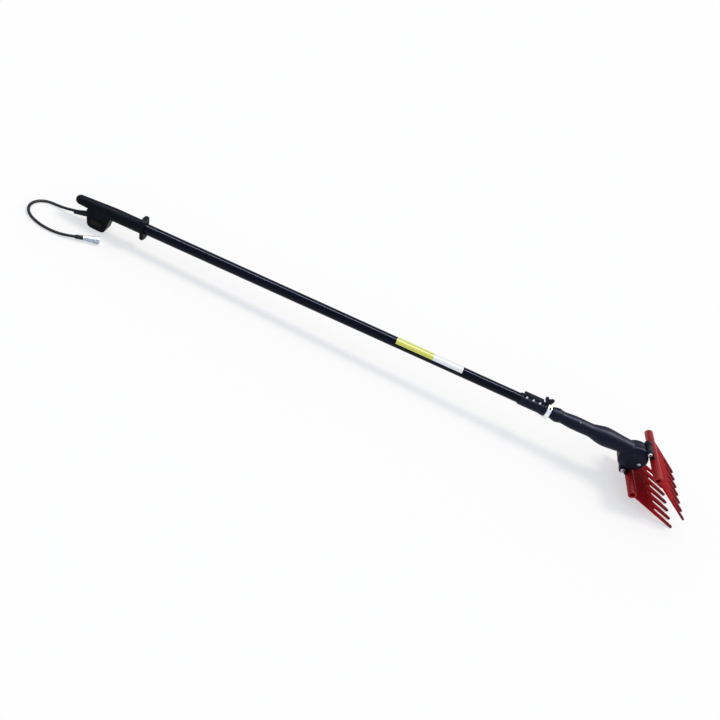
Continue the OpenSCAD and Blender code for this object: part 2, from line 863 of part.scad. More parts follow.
module case_drum(r, w, round_r) {
    arc = [for (i = [0:arc_steps]) let (a = 90 * i / arc_steps)
        [r - round_r + round_r * sin(a), round_r * cos(a)]];
    side = [for (p = arc) [p[0], w / 2 - round_r + p[1]]];
    back = [for (i = [arc_steps:-1:0]) [side[i][0], -side[i][1]]];
    translate([case_at[0], 0, case_at[1]]) rotate([90, 0, 0]) rotate_extrude()
        polygon(concat([[0, w / 2]], side, back, [[0, -w / 2]]));
}

module housing_form() {
    turned(house_profile);
    case_drum(case_r, case_w, case_round);
    for (p = [upper_pivot, lower_pivot]) bar_y(p, -lug_w / 2, lug_w, lug_r);
    intersection() {
        case_drum(cheek_r, cheek_w, cheek_round);
        in_head() block([-2 * cheek_r, -cheek_w, -cheek_r - case_back],
            [2 * cheek_r + cheek_front, 2 * cheek_w, 2 * (cheek_r + case_back)]);
    }
    for (p = case_screws) bar_y(p, -case_boss_w / 2, case_boss_w, case_boss_r);
}

module motor_room() {
    start = house_x + house_len * cavity_start_share;
    inside = [for (p = house_profile) if (p[0] > start) [p[0], p[1] - house_wall]];
    difference() {
        turned(concat([[start, wire_r]], inside));
        along_motor() for (s = rib_places) bar_x(-s - rib_t, rib_t, 2 * swell_r);
    }
    along_motor() bar_x(-motor_front - motor_len - motor_bell_len - overrun,
        motor_len + motor_bell_len + 2 * overrun, motor_r + press_gap);
    bar_x(house_x + socket_len - overrun, motor_rear_x() - house_x - socket_len + overrun, wire_r);
    bar_x(house_x - overrun, socket_len + overrun, inner_r + press_gap);
}

module case_room() {
    difference() {
        case_drum(case_r - house_wall, case_w - 2 * house_wall, case_round - house_wall);
        for (p = case_screws) bar_y(p, -case_w, 2 * case_w, case_boss_r);
        in_head() rod_posts();
        bar_y(crank_at, bearing_y, case_w / 2 - bearing_y, bearing_r + boss_wall);
    }
    bar_y(crank_at, bearing_y, bearing_w + press_gap, bearing_r + press_gap);
}

module rod_posts() {
    for (x = [rod_start, rod_end - post_t])
        block([x, -case_w / 2, -post_h / 2], [post_t, case_w / 2 + rod_y + rod_r + boss_wall / 2, post_h]);
}

// Room for the rocker hubs and for their tails
module rocker_room() {
    for (p = [upper_pivot, lower_pivot])
        bar_y(p, -hub_w / 2 - free_gap, hub_w + 2 * free_gap, hub_r + hub_room);
    sweep = tail_len * sin(stroke_open) + tail_w / 2 + overrun;
    for (side = [-1, 1]) in_head() block(
        [-sweep, tail_y - overrun, side > 0 ? case_r - 3 * house_wall : -pivot_reach],
        [2 * sweep, tail_t + 2 * overrun, pivot_reach - case_r + 3 * house_wall]
    );
}

module screw_hole(p, y) {
    bar_y(p, -y - case_w, case_w + case_head_t, case_head_r + press_gap);
    bar_y(p, -y, y + screw_tail, case_screw_r + press_gap);
}

module housing_holes() {
    for (p = [upper_pivot, lower_pivot]) bar_y(p, -lug_w, 2 * lug_w, pivot_r + press_gap);
    for (p = tube_screws) screw_hole(p, tube_screw_y);
    mirror([0, 1, 0]) for (p = case_screws) screw_hole(p, case_screw_y);
    in_head() translate([0, rod_y, 0])
        bar_x(rod_start - overrun, rod_end - rod_start + 2 * overrun, rod_r + press_gap);
    in_head() bar_y(grease_at, -case_w, case_w / 2 + house_wall + grease_len, grease_r + press_gap);
}

// Grease plug in the side of the gear case
grease_at = [9, 2];
grease_r = 3;
grease_head_r = 4.6;
grease_head_t = 2.2;
grease_len = 4;

module housing_half(side) {
    lay() half(side, house_x - overrun, 2 * house_len, 2 * case_w) difference() {
        housing_form();
        motor_room();
        case_room();
        rocker_room();
        housing_holes();
    }
}

module housing_near() {
    color([0.09, 0.09, 0.1]) housing_half(near);
}

module housing_far() {
    color([0.09, 0.09, 0.1]) housing_half(far);
}

module housing_screw(p, y) {
    screw_y(p, -y, y - case_head_t + screw_tail - overrun, case_screw_r, case_head_r, case_head_t);
}

module housing_screws() {
    color("silver") lay() {
        for (p = tube_screws) housing_screw(p, tube_screw_y);
        mirror([0, 1, 0]) for (p = case_screws) housing_screw(p, case_screw_y);
    }
}

module grease_plug() {
    color("silver") lay() in_head()
        screw_y(grease_at, -case_w / 2 - grease_head_t, house_wall, grease_r, grease_head_r, grease_head_t);
}

// Motor and gears

module motor_can() {
    color([0.7, 0.7, 0.72]) lay() along_motor() difference() {
        union() {
            bar_x(-motor_front - motor_len, motor_len, motor_r);
            bar_x(-motor_front, motor_boss_t, motor_boss_r);
        }
        bar_x(-motor_front - motor_len - overrun, motor_len + motor_boss_t + 2 * overrun,
            motor_shaft_r + run_gap);
    }
}

module motor_end_bell() {
    color([0.15, 0.15, 0.16]) lay() along_motor()
        bar_x(-motor_front - motor_len - motor_bell_len, motor_bell_len, motor_r - tube_wall);
}

module motor_shaft() {
    color("silver") lay() along_motor()
        bar_x(-motor_front - motor_len, motor_front + motor_len + pinion_x + face_w, motor_shaft_r);
}

// Half the angle that a tooth takes up at radius r, for an involute tooth thinned by share
function involute(r, base) = r > base ? tan(acos(base / r)) / deg - acos(base / r) : 0;
function tooth_half(r) =
    let (base = pinion_pitch_r * cos(pressure_angle))
    360 / pinion_teeth * pinion_tooth_share / 2 + involute(pinion_pitch_r, base) - involute(r, base);
function pinion_outline() =
    let (low = pinion_pitch_r - tooth_root, high = pinion_pitch_r + tooth_tip,
        radii = [for (i = [0:flank_steps]) low + (high - low) * i / flank_steps])
    [for (k = [0:pinion_teeth - 1]) let (mid = 360 * (k + 0.5) / pinion_teeth)
        each concat(
            [for (r = radii) r * [cos(mid - tooth_half(r)), sin(mid - tooth_half(r))]],
            [for (i = [flank_steps:-1:0]) let (r = radii[i])
                r * [cos(mid + tooth_half(r)), sin(mid + tooth_half(r))]]
        )];

module drive_pinion() {
    color([0.72, 0.6, 0.35]) lay() along_motor() difference() {
        translate([pinion_x, 0, 0]) rotate([0, 90, 0]) linear_extrude(face_w) polygon(pinion_outline());
        bar_x(pinion_x - overrun, face_w + 2 * overrun, motor_shaft_r + press_gap);
    }
}

// Axes of the crank shaft: X forward along the motor's axis, Y along the shaft
module crown_gear() {
    half_pitch = PI * gear_module * crown_tooth_share / 2;
    slope = tan(pressure_angle);
    tooth = [
        [-half_pitch + tooth_tip * slope, crown_face_y - tooth_root - tooth_tip],
        [half_pitch - tooth_tip * slope, crown_face_y - tooth_root - tooth_tip],
        [half_pitch + tooth_root * slope, crown_face_y],
        [half_pitch + tooth_root * slope, crown_face_y + tooth_root],
        [-half_pitch - tooth_root * slope, crown_face_y + tooth_root],
        [-half_pitch - tooth_root * slope, crown_face_y]
    ];
    color([0.6, 0.6, 0.62]) lay() along_motor() {
        difference() {
            bar_y([0, 0], crown_face_y, crown_disc_t, crown_pitch_r + face_w / 2 + tooth_tip);
            bar_y([0, 0], crown_face_y - overrun, crown_disc_t + 2 * overrun, crank_shaft_r + press_gap);
        }
        for (k = [0:crown_teeth - 1]) rotate([0, 360 * k / crown_teeth, 0])
            translate([-crown_pitch_r - face_w / 2, 0, 0])
                rotate([0, 90, 0]) linear_extrude(face_w) polygon(tooth);
    }
}

module crank_shaft() {
    pin_place = [crank_r * sin(crank_rest), crank_r * cos(crank_rest)];
    pin_end = yoke_y + yoke_t + free_gap;
    color("silver") lay() {
        bar_y(crank_at, crown_face_y - web_t, bearing_y + bearing_w - crown_face_y + web_t, crank_shaft_r);
        bar_y(crank_at, crown_face_y - web_t, web_t, web_r);
        translate([crank_at[0], 0, crank_at[1]]) rotate([0, head_tilt, 0])
            bar_y(pin_place, pin_end, crown_face_y - pin_end - web_t / 2, crank_pin_r);
    }
}

module crank_bearing() {
    color([0.75, 0.75, 0.77]) lay() difference() {
        bar_y(crank_at, bearing_y, bearing_w, bearing_r);
        bar_y(crank_at, bearing_y - overrun, bearing_w + 2 * overrun, crank_shaft_r + run_gap);
    }
}

// Yoke and rockers

module guide_rod() {
    color("silver") lay() in_head() translate([0, rod_y, 0]) bar_x(rod_start, rod_end - rod_start, rod_r);
}

module drive_yoke() {
    slot_x = -crank_back + crank_r * sin(crank_rest);
    slot_half = crank_pin_r + slot_gap;
    frame_half = slot_half + slot_frame;
    slot_reach = crank_r + crank_pin_r + slot_gap;
    frame_reach = slot_reach + slot_frame;
    pin_z = pivot_reach - tail_len;
    through = yoke_t + 2 * overrun;
    sleeve_len = sleeve_end - sleeve_start;
    color([0.62, 0.6, 0.55]) lay() in_head() difference() {
        union() {
            block([slot_x - frame_half, yoke_y, -frame_reach], [2 * frame_half, yoke_t, 2 * frame_reach]);
            block([slot_x, yoke_y, -yoke_bar_w / 2], [-slot_x, yoke_t, yoke_bar_w]);
            block([-yoke_bar_w / 2, yoke_y, -pin_z - yoke_end], [yoke_bar_w, yoke_t, 2 * pin_z + 2 * yoke_end]);
            translate([0, rod_y, 0]) bar_x(sleeve_start, sleeve_len, sleeve_r);
            block([sleeve_start, rod_y, -sleeve_r / 2], [sleeve_len, yoke_y + yoke_t - rod_y, sleeve_r]);
        }
        translate([0, rod_y, 0]) bar_x(sleeve_start - overrun, sleeve_len + 2 * overrun, rod_r + run_gap);
        block([slot_x - slot_half, yoke_y - overrun, -slot_reach], [2 * slot_half, through, 2 * slot_reach]);
        for (side = [-1, 1]) bar_y([0, side * pin_z], yoke_y - overrun, through, yoke_pin_r + press_gap);
    }
}

module yoke_pins() {
    length = tail_t + yoke_t + yoke_y + overrun;
    color("silver") lay() in_head() for (side = [-1, 1])
        bar_y([0, side * (pivot_reach - tail_len)], tail_y - overrun, length, yoke_pin_r);
}

// One rocker, drawn about its pivot: the arm runs along X to the comb, inward is the side of the other comb
module rocker(droop, inward) {
    seat_x = arm_len - spine_r - saddle_t;
    lean = droop - head_tilt;
    slot_half = yoke_pin_r + slot_gap;
    color([0.12, 0.12, 0.13]) difference() {
        union() {
            bar_y([0, 0], -hub_w / 2, hub_w, hub_r);
            block([0, -hub_w / 2, -arm_t / 2], [seat_x + saddle_t, hub_w, arm_t]);
            block([seat_x, -saddle_w / 2, -saddle_half], [saddle_t + saddle_reach, saddle_w, 2 * saddle_half]);
            rotate([0, -lean, 0]) block(
                [-tail_w / 2, tail_y, inward > 0 ? 0 : -tail_len - yoke_end],
                [tail_w, tail_t, tail_len + yoke_end]
            );
        }
        bar_y([0, 0], -hub_w, 2 * hub_w, pivot_r + bush_wall + press_gap);
        bar_y([arm_len, 0], -saddle_w, 2 * saddle_w, spine_r + press_gap);
        for (side = [-1, 1]) translate([0, side * comb_bolt_y, 0]) {
            bar_x(0, arm_len, comb_bolt_r + press_gap);
            bar_x(0, seat_x + comb_bolt_head_t, comb_bolt_head_r + press_gap);
        }
        rotate([0, -lean, 0]) block(
            [-slot_half, tail_y - overrun, inward * tail_len - slot_half - slot_play],
            [2 * slot_half, tail_t + 2 * overrun, 2 * slot_half + 2 * slot_play]
        );
    }
}

module at_pivot(p, droop) {
    lay() translate([p[0], 0, p[1]]) rotate([0, droop, 0]) children();
}

module upper_rocker() {
    at_pivot(upper_pivot, upper_droop) rocker(upper_droop, -1);
}

module lower_rocker() {
    at_pivot(lower_pivot, lower_droop) rocker(lower_droop, 1);
}

module pivot_bolts() {
    color("silver") lay() for (p = [upper_pivot, lower_pivot])
        screw_y(p, -lug_w / 2 - pivot_head_t, lug_w + pivot_nut_t, pivot_r, pivot_head_r, pivot_head_t);
}

module pivot_nuts() {
    color("silver") lay() for (p = [upper_pivot, lower_pivot]) difference() {
        translate([p[0], lug_w / 2, p[1]]) rotate([-90, 0, 0])
            cylinder(h = pivot_nut_t, r = pivot_nut_r, $fn = 6);
        bar_y(p, 0, lug_w, pivot_r + press_gap);
    }
}

module pivot_bushes() {
    length = hub_w + 2 * free_gap - 2 * press_gap;
    color([0.7, 0.55, 0.3]) lay() for (p = [upper_pivot, lower_pivot]) difference() {
        bar_y(p, -length / 2, length, pivot_r + bush_wall);
        bar_y(p, -hub_w, 2 * hub_w, pivot_r + press_gap);
    }
}

// Combs

function tine_edge(k) =
    let (
        mid = (k - (tines - 1) / 2) * pitch,
        root = tine_len * root_share,
        tip = tine_len - tip_w / 2,
        first = k == 0,
        last = k == tines - 1
    )
    concat(
        first ? [[0, -comb_w / 2]] : [[root, mid - (pitch - root_gap) / 2]],
        [for (i = [0:2 * arc_steps]) let (a = 180 * i / (2 * arc_steps) - 90)
            [tip + tip_w / 2 * cos(a), mid + tip_w / 2 * sin(a)]],
        last ? [[0, comb_w / 2]] : [[root, mid + (pitch - root_gap) / 2]]
    );

module comb() {
    color([0.66, 0.1, 0.1]) difference() {
        union() {
            translate([0, 0, -tine_t / 2]) linear_extrude(tine_t)
                polygon([for (k = [0:tines - 1]) each tine_edge(k)]);
            bar_y([0, 0], -comb_w / 2, comb_w, spine_r);
        }
        bar_y([0, 0], -comb_w, 2 * comb_w, spine_bore / 2);
        for (side = [-1, 1]) translate([0, side * comb_bolt_y, 0])
            bar_x(-arm_len, arm_len, comb_bolt_r + press_gap);
    }
}

module upper_comb() {
    at_pivot(upper_pivot, upper_droop) translate([arm_len, 0, 0]) comb();
}

module lower_comb() {
    at_pivot(lower_pivot, lower_droop) translate([arm_len, 0, 0]) comb();
}

module comb_bolts() {
    start = arm_len - spine_r - saddle_t;
    color("silver") for (side = [-1, 1]) translate([0, side * comb_bolt_y, 0]) {
        bar_x(start, comb_bolt_head_t, comb_bolt_head_r);
        bar_x(start + comb_bolt_head_t, saddle_t - comb_bolt_head_t + comb_bolt_bite, comb_bolt_r);
    }
}

module upper_comb_bolts() {
    at_pivot(upper_pivot, upper_droop) comb_bolts();
}

module lower_comb_bolts() {
    at_pivot(lower_pivot, lower_droop) comb_bolts();
}

outer_tube();
grip_shell_near();
grip_shell_far();
grip_screws();
switch_body();
switch_terminals();
switch_rocker();
strain_relief();
supply_cable();
plug_boot();
plug_shell();
plug_insert();
plug_pins();
plug_nut();
collar();
collar_bolts();
collar_nuts();
clamp_ring();
wing_screw();
spiral_lead();
inner_tube();
guide_bush();
motor_lead();
housing_near();
housing_far();
housing_screws();
grease_plug();
motor_can();
motor_end_bell();
motor_shaft();
drive_pinion();
crown_gear();
crank_shaft();
crank_bearing();
guide_rod();
drive_yoke();
yoke_pins();
upper_rocker();
lower_rocker();
pivot_bolts();
pivot_nuts();
pivot_bushes();
upper_comb();
lower_comb();
upper_comb_bolts();
lower_comb_bolts();
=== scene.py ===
import bpy
import bmesh
from math import radians, sin, cos
from mathutils import Matrix, Vector


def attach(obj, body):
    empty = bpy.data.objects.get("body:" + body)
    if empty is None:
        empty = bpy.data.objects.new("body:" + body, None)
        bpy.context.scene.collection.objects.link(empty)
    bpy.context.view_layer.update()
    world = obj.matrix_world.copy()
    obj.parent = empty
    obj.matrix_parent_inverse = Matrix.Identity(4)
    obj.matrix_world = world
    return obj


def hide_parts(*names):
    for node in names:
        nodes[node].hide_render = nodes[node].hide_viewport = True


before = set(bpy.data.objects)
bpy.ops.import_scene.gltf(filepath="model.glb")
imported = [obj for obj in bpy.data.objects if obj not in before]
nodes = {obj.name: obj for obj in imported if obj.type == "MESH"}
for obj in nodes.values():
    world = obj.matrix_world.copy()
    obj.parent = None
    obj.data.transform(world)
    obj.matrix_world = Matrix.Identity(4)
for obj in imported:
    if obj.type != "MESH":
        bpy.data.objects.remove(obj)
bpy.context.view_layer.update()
scene = bpy.context.scene
scene.view_settings.view_transform = "Standard"

# the pole's own axes: X from the handle's end, Z up from the pole's middle, metres and degrees
pole = {"lie": 2.197144, "middle": 0.980019, "height": 0.0591366, "radius": 0.0155}
poleTurn = Matrix.Rotation(-radians(pole["lie"]), 4, "Y")
poleMatrix = Matrix.Translation((-pole["middle"], 0, pole["height"])) @ poleTurn
poleWay = (cos(radians(pole["lie"])), 0, sin(radians(pole["lie"])))

# camera of the photo
camera = {"place": (-0.289, -1.638, 1.221), "target": (-0.0744, 0.0, -0.0179), "roll": 30.4,
          "lens": 35.0, "sensor": 36.0, "reach": 200.0}


def placeCamera():
    data = bpy.data.cameras.new("photoCamera")
    data.sensor_width = camera["sensor"]
    data.lens = camera["lens"]
    data.clip_end = camera["reach"]
    obj = bpy.data.objects.new("photoCamera", data)
    scene.collection.objects.link(obj)
    way = Vector(camera["target"]) - Vector(camera["place"])
    roll = Matrix.Rotation(radians(camera["roll"]), 4, "Z")
    turn = way.to_track_quat("-Z", "Y").to_matrix().to_4x4() @ roll
    obj.matrix_world = Matrix.Translation(camera["place"]) @ turn
    scene.camera = obj


placeCamera()
print("camera placed")

# supply cable: the route's points, from the strain relief to the plug's boot
cable = {
    "diameter": 0.008, "roundness": 6, "steps": 8,
    "route": [
        (-0.972, 0, 0.018), (-0.984, 0, 0.0148), (-1.0, 0, 0.0108), (-1.016, 0.001, 0.0072),
        (-1.034, 0.002, 0.0049), (-1.052, 0, 0.0043), (-1.066, -0.008, 0.0042), (-1.076, -0.022, 0.0042),
        (-1.08, -0.04, 0.0042), (-1.077, -0.058, 0.0042), (-1.069, -0.074, 0.0042), (-1.056, -0.088, 0.0042),
        (-1.04, -0.098, 0.0042), (-1.022, -0.105, 0.0042), (-1.004, -0.109, 0.0042), (-0.986, -0.11, 0.0043),
        (-0.97, -0.109, 0.0048), (-0.956, -0.107, 0.006), (-0.944, -0.104, 0.0075), (-0.932, -0.1, 0.009),
        (-0.92, -0.094, 0.0097),
    ],
    "plug": ("plug_boot", "plug_shell", "plug_insert", "plug_pins", "plug_nut"),
}


def makeCable():
    curve = bpy.data.curves.new("supplyCable", "CURVE")
    curve.dimensions = "3D"
    # the thickness is in the points' radius, which the curve's own box counts
    curve.bevel_depth = 1.0
    curve.bevel_resolution = cable["roundness"]
    curve.resolution_u = cable["steps"]
    curve.use_fill_caps = True
    spline = curve.splines.new("BEZIER")
    spline.bezier_points.add(len(cable["route"]) - 1)
    for point, spot in zip(spline.bezier_points, cable["route"]):
        point.co = spot
        point.radius = cable["diameter"] / 2
        point.handle_left_type = point.handle_right_type = "AUTO"
    obj = bpy.data.objects.new("supplyCable", curve)
    scene.collection.objects.link(obj)
    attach(obj, "pole")
    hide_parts("supply_cable")
    bpy.context.view_layer.update()
    return obj


cableObj = makeCable()


# shader nodes: each input is a value, or a socket to link from
def feed(tree, node, inputs):
    for key, value in inputs.items():
        if isinstance(value, bpy.types.NodeSocket):
            tree.links.new(value, node.inputs[key])
        else:
            node.inputs[key].default_value = value
    return node


def addNode(tree, kind, inputs, **settings):
    node = tree.nodes.new("ShaderNode" + kind)
    for name, value in settings.items():
        setattr(node, name, value)
    return feed(tree, node, inputs)


def mathOn(tree, operation, *values, clamp=False):
    return addNode(tree, "Math", dict(enumerate(values)), operation=operation, use_clamp=clamp).outputs[0]


# the colour sockets of a mix node
mixSockets = {"first": 6, "second": 7, "result": 2}


def mixColors(tree, share, first, second):
    inputs = {"Factor": share, mixSockets["first"]: first, mixSockets["second"]: second}
    return addNode(tree, "Mix", inputs, data_type="RGBA").outputs[mixSockets["result"]]


def objectSpot(tree):
    return addNode(tree, "TexCoord", {}).outputs["Object"]


def newGroup(name, inputs, outputs):
    group = bpy.data.node_groups.new(name, "ShaderNodeTree")
    for label, kind in inputs.items():
        group.interface.new_socket(label, in_out="INPUT", socket_type="NodeSocket" + kind)
    for label, kind in outputs.items():
        group.interface.new_socket(label, in_out="OUTPUT", socket_type="NodeSocket" + kind)
    return group, group.nodes.new("NodeGroupInput").outputs, group.nodes.new("NodeGroupOutput")


# moulded or painted skin: fine pebbling, with a slow drift of the gloss
grainForm = {"fine": 3, "slow": 4, "height": 0.0002, "middle": 0.5}


def makeGrain():
    group, given, out = newGroup(
        "mouldGrain",
        {"Scale": "Float", "Depth": "Float", "Gloss": "Float", "Spread": "Float", "Drift": "Float"},
        {"Roughness": "Float", "Normal": "Vector"})
    spot = objectSpot(group)
    fine = addNode(group, "TexNoise", {"Vector": spot, "Scale": given["Scale"], "Detail": grainForm["fine"]})
    slow = addNode(group, "TexNoise", {"Vector": spot, "Scale": given["Drift"], "Detail": grainForm["slow"]})
    bump = addNode(group, "Bump", {"Distance": grainForm["height"], "Strength": given["Depth"],
                                   "Height": fine.outputs["Fac"]})
    centred = mathOn(group, "SUBTRACT", slow.outputs["Fac"], grainForm["middle"])
    rough = mathOn(group, "MULTIPLY_ADD", centred, given["Spread"], given["Gloss"])
    feed(group, out, {"Roughness": rough, "Normal": bump.outputs["Normal"]})
    return group


# colour that drifts a little, with specks of field dust
dustForm = {"patchDetail": 5, "patchFrom": 0.45, "patchTo": 0.8,
            "speckDetail": 2, "speckFrom": 0.62, "speckTo": 0.72}


def makeDust():
    group, given, out = newGroup(
        "fieldDust", {"Clean": "Color", "Dust": "Color", "Amount": "Float", "Scale": "Float", "Speck": "Float"},
        {"Color": "Color"})
    spot = objectSpot(group)
    layers = []
    for size, kind in (("Scale", "patch"), ("Speck", "speck")):
        noise = addNode(group, "TexNoise", {"Vector": spot, "Scale": given[size],
                                            "Detail": dustForm[kind + "Detail"]})
        layer = addNode(group, "MapRange", {"Value": noise.outputs["Fac"], "From Min": dustForm[kind + "From"],
                                            "From Max": dustForm[kind + "To"]})
        layers.append(layer.outputs["Result"])
    share = mathOn(group, "MULTIPLY", mathOn(group, "ADD", *layers), given["Amount"], clamp=True)
    feed(group, out, {"Color": mixColors(group, share, given["Clean"], given["Dust"])})
    return group


# turned or drawn metal: fine lines square to one direction
turnedForm = {"detail": 4, "height": 0.0001}


def makeTurned():
    group, given, out = newGroup(
        "turnedLines",
        {"Way": "Vector", "Scale": "Float", "Depth": "Float", "Gloss": "Float", "Spread": "Float"},
        {"Roughness": "Float", "Normal": "Vector"})
    dot = addNode(group, "VectorMath", {0: objectSpot(group), 1: given["Way"]}, operation="DOT_PRODUCT")
    lines = addNode(group, "TexNoise", {"W": dot.outputs["Value"], "Scale": given["Scale"],
                                        "Detail": turnedForm["detail"]}, noise_dimensions="1D").outputs["Fac"]
    bump = addNode(group, "Bump", {"Distance": turnedForm["height"], "Strength": given["Depth"],
                                   "Height": lines})
    rough = mathOn(group, "MULTIPLY_ADD", lines, given["Spread"], given["Gloss"])
    feed(group, out, {"Roughness": rough, "Normal": bump.outputs["Normal"]})
    return group


grainGroup = makeGrain()
dustGroup = makeDust()
turnedGroup = makeTurned()


def newMaterial(name):
    mat = bpy.data.materials.new(name)
    mat.use_nodes = True
    return mat, mat.node_tree, mat.node_tree.nodes["Principled BSDF"]


def dusted(tree, clean, dust, amount, patch, speck):
    inputs = {"Clean": (*clean, 1), "Dust": (*dust, 1), "Amount": amount, "Scale": patch, "Speck": speck}
    return addNode(tree, "Group", inputs, node_tree=dustGroup).outputs["Color"]


# plastics, rubber and paint: dust patches and specks, and drift of the gloss, alike on all of them
skinForm = {"patch": 60.0, "speck": 700.0, "drift": 30.0}
paleDust = (0.16, 0.155, 0.15)
navyTint = (0.62, 0.70, 1.0)
skinLooks = {
    "gripBlack": {"color": (0.0026, 0.0034, 0.0056), "dust": paleDust, "amount": 0.01, "grain": 1400.0,
                  "depth": 0.35, "rough": 0.48, "spread": 0.15, "shine": 0.09, "tint": navyTint},
    "switchBlack": {"color": (0.0025, 0.0025, 0.0035), "dust": paleDust, "amount": 0.008, "grain": 2200.0,
                    "depth": 0.12, "rough": 0.36, "spread": 0.1, "shine": 0.14},
    "rockerRed": {"color": (0.010, 0.0022, 0.0022), "dust": paleDust, "amount": 0.008, "grain": 2000.0,
                  "depth": 0.08, "rough": 0.36, "spread": 0.1, "shine": 0.14},
    "rubberBlack": {"color": (0.0095, 0.0105, 0.0145), "dust": paleDust, "amount": 0.03, "grain": 1800.0,
                    "depth": 0.25, "rough": 0.48, "spread": 0.15, "shine": 0.2},
    "tubeGloss": {"color": (0.0010, 0.0012, 0.0040), "dust": paleDust, "amount": 0.004, "grain": 260.0,
                  "depth": 0.03, "rough": 0.10, "spread": 0.04, "shine": 0.16, "tint": navyTint},
    "collarBlack": {"color": (0.0045, 0.0062, 0.0125), "dust": paleDust, "amount": 0.015, "grain": 1200.0,
                    "depth": 0.3, "rough": 0.4, "spread": 0.12, "shine": 0.18, "tint": navyTint},
    "housingBlack": {"color": (0.0042, 0.0054, 0.0130), "dust": paleDust, "amount": 0.015, "grain": 1100.0,
                     "depth": 0.4, "rough": 0.42, "spread": 0.14, "shine": 0.17, "tint": navyTint},
    "armBlack": {"color": (0.0045, 0.0048, 0.0085), "dust": paleDust, "amount": 0.02, "grain": 800.0,
                 "depth": 0.3, "rough": 0.42, "spread": 0.15, "shine": 0.17},
    "insertBlack": {"color": (0.015, 0.015, 0.017), "dust": paleDust, "amount": 0.03, "grain": 1500.0,
                    "depth": 0.2, "rough": 0.5, "spread": 0.1, "shine": 0.3},
    "bushNatural": {"color": (0.62, 0.61, 0.56), "dust": (0.3, 0.28, 0.24), "amount": 0.1, "grain": 900.0,
                    "depth": 0.2, "rough": 0.45, "spread": 0.1, "shine": 0.5},
    "combRed": {"color": (0.31, 0.0065, 0.010), "dust": (0.34, 0.04, 0.04), "amount": 0.03, "grain": 700.0,
                "depth": 0.2, "rough": 0.50, "spread": 0.12, "shine": 0.003, "tint": (1.0, 0.62, 0.55)},
}


def skinMaterial(name, look):
    mat, tree, bsdf = newMaterial(name)
    grain = addNode(tree, "Group", {"Scale": look["grain"], "Depth": look["depth"], "Gloss": look["rough"],
                                    "Spread": look["spread"], "Drift": skinForm["drift"]}, node_tree=grainGroup)
    color = dusted(tree, look["color"], look["dust"], look["amount"], skinForm["patch"], skinForm["speck"])
    feed(tree, bsdf, {"Base Color": color, "Roughness": grain.outputs["Roughness"],
                      "Normal": grain.outputs["Normal"], "Specular IOR Level": look["shine"],
                      "Specular Tint": (*look.get("tint", (1, 1, 1)), 1)})
    return mat


# metals: stains instead of dust, and the direction that the lines are square to
metalForm = {"patch": 90.0, "speck": 900.0}
metalLooks = {
    "ringMetal": {"color": (0.93, 0.95, 0.97), "stain": (0.5, 0.51, 0.52), "amount": 0.1, "way": poleWay,
                  "lines": 2600.0, "depth": 0.1, "rough": 0.32, "spread": 0.2},
    "boltSteel": {"color": (0.66, 0.67, 0.69), "stain": (0.28, 0.25, 0.22), "amount": 0.15, "way": (0, 1, 0),
                  "lines": 1800.0, "depth": 0.1, "rough": 0.18, "spread": 0.2},
    "plugMetal": {"color": (0.42, 0.47, 0.55), "stain": (0.25, 0.26, 0.28), "amount": 0.12,
                  "way": (0.89, 0.45, 0.03), "lines": 2200.0, "depth": 0.08, "rough": 0.42, "spread": 0.16},
    "motorMetal": {"color": (0.45, 0.46, 0.48), "stain": (0.25, 0.25, 0.25), "amount": 0.1, "way": poleWay,
                   "lines": 700.0, "depth": 0.1, "rough": 0.3, "spread": 0.2},
    "yokeMetal": {"color": (0.5, 0.5, 0.51), "stain": (0.2, 0.19, 0.17), "amount": 0.2, "way": (0, 1, 0),
                  "lines": 500.0, "depth": 0.15, "rough": 0.4, "spread": 0.2},
    "brassPlain": {"color": (0.68, 0.48, 0.2), "stain": (0.35, 0.22, 0.1), "amount": 0.2, "way": (0, 1, 0),
                   "lines": 1200.0, "depth": 0.1, "rough": 0.25, "spread": 0.2},
}


def metalMaterial(name, look):
    mat, tree, bsdf = newMaterial(name)
    lines = addNode(tree, "Group", {"Way": look["way"], "Scale": look["lines"], "Depth": look["depth"],
                                    "Gloss": look["rough"], "Spread": look["spread"]}, node_tree=turnedGroup)
    color = dusted(tree, look["color"], look["stain"], look["amount"], metalForm["patch"], metalForm["speck"])
    feed(tree, bsdf, {"Metallic": 1.0, "Base Color": color, "Roughness": lines.outputs["Roughness"],
                      "Normal": lines.outputs["Normal"]})
    return mat


finishes = {name: skinMaterial(name, look) for name, look in skinLooks.items()}
finishes.update({name: metalMaterial(name, look) for name, look in metalLooks.items()})

# comb tips, darker and browner towards the ends: painted shade of the thick rounded tips; the stretch along X,
# the share and the colour there
tipLook = {"from": 0.905, "to": 0.985, "share": 0.85, "color": (0.10, 0.026, 0.032)}
# comb spines, glossy round bars: the place of each axis, and how far from it the gloss reaches
spineLook = {"axes": ((0.8002, 0, 0.0512), (0.8235, 0, 0.1366)), "reach": 0.0128, "rough": 0.3, "shine": 0.22}


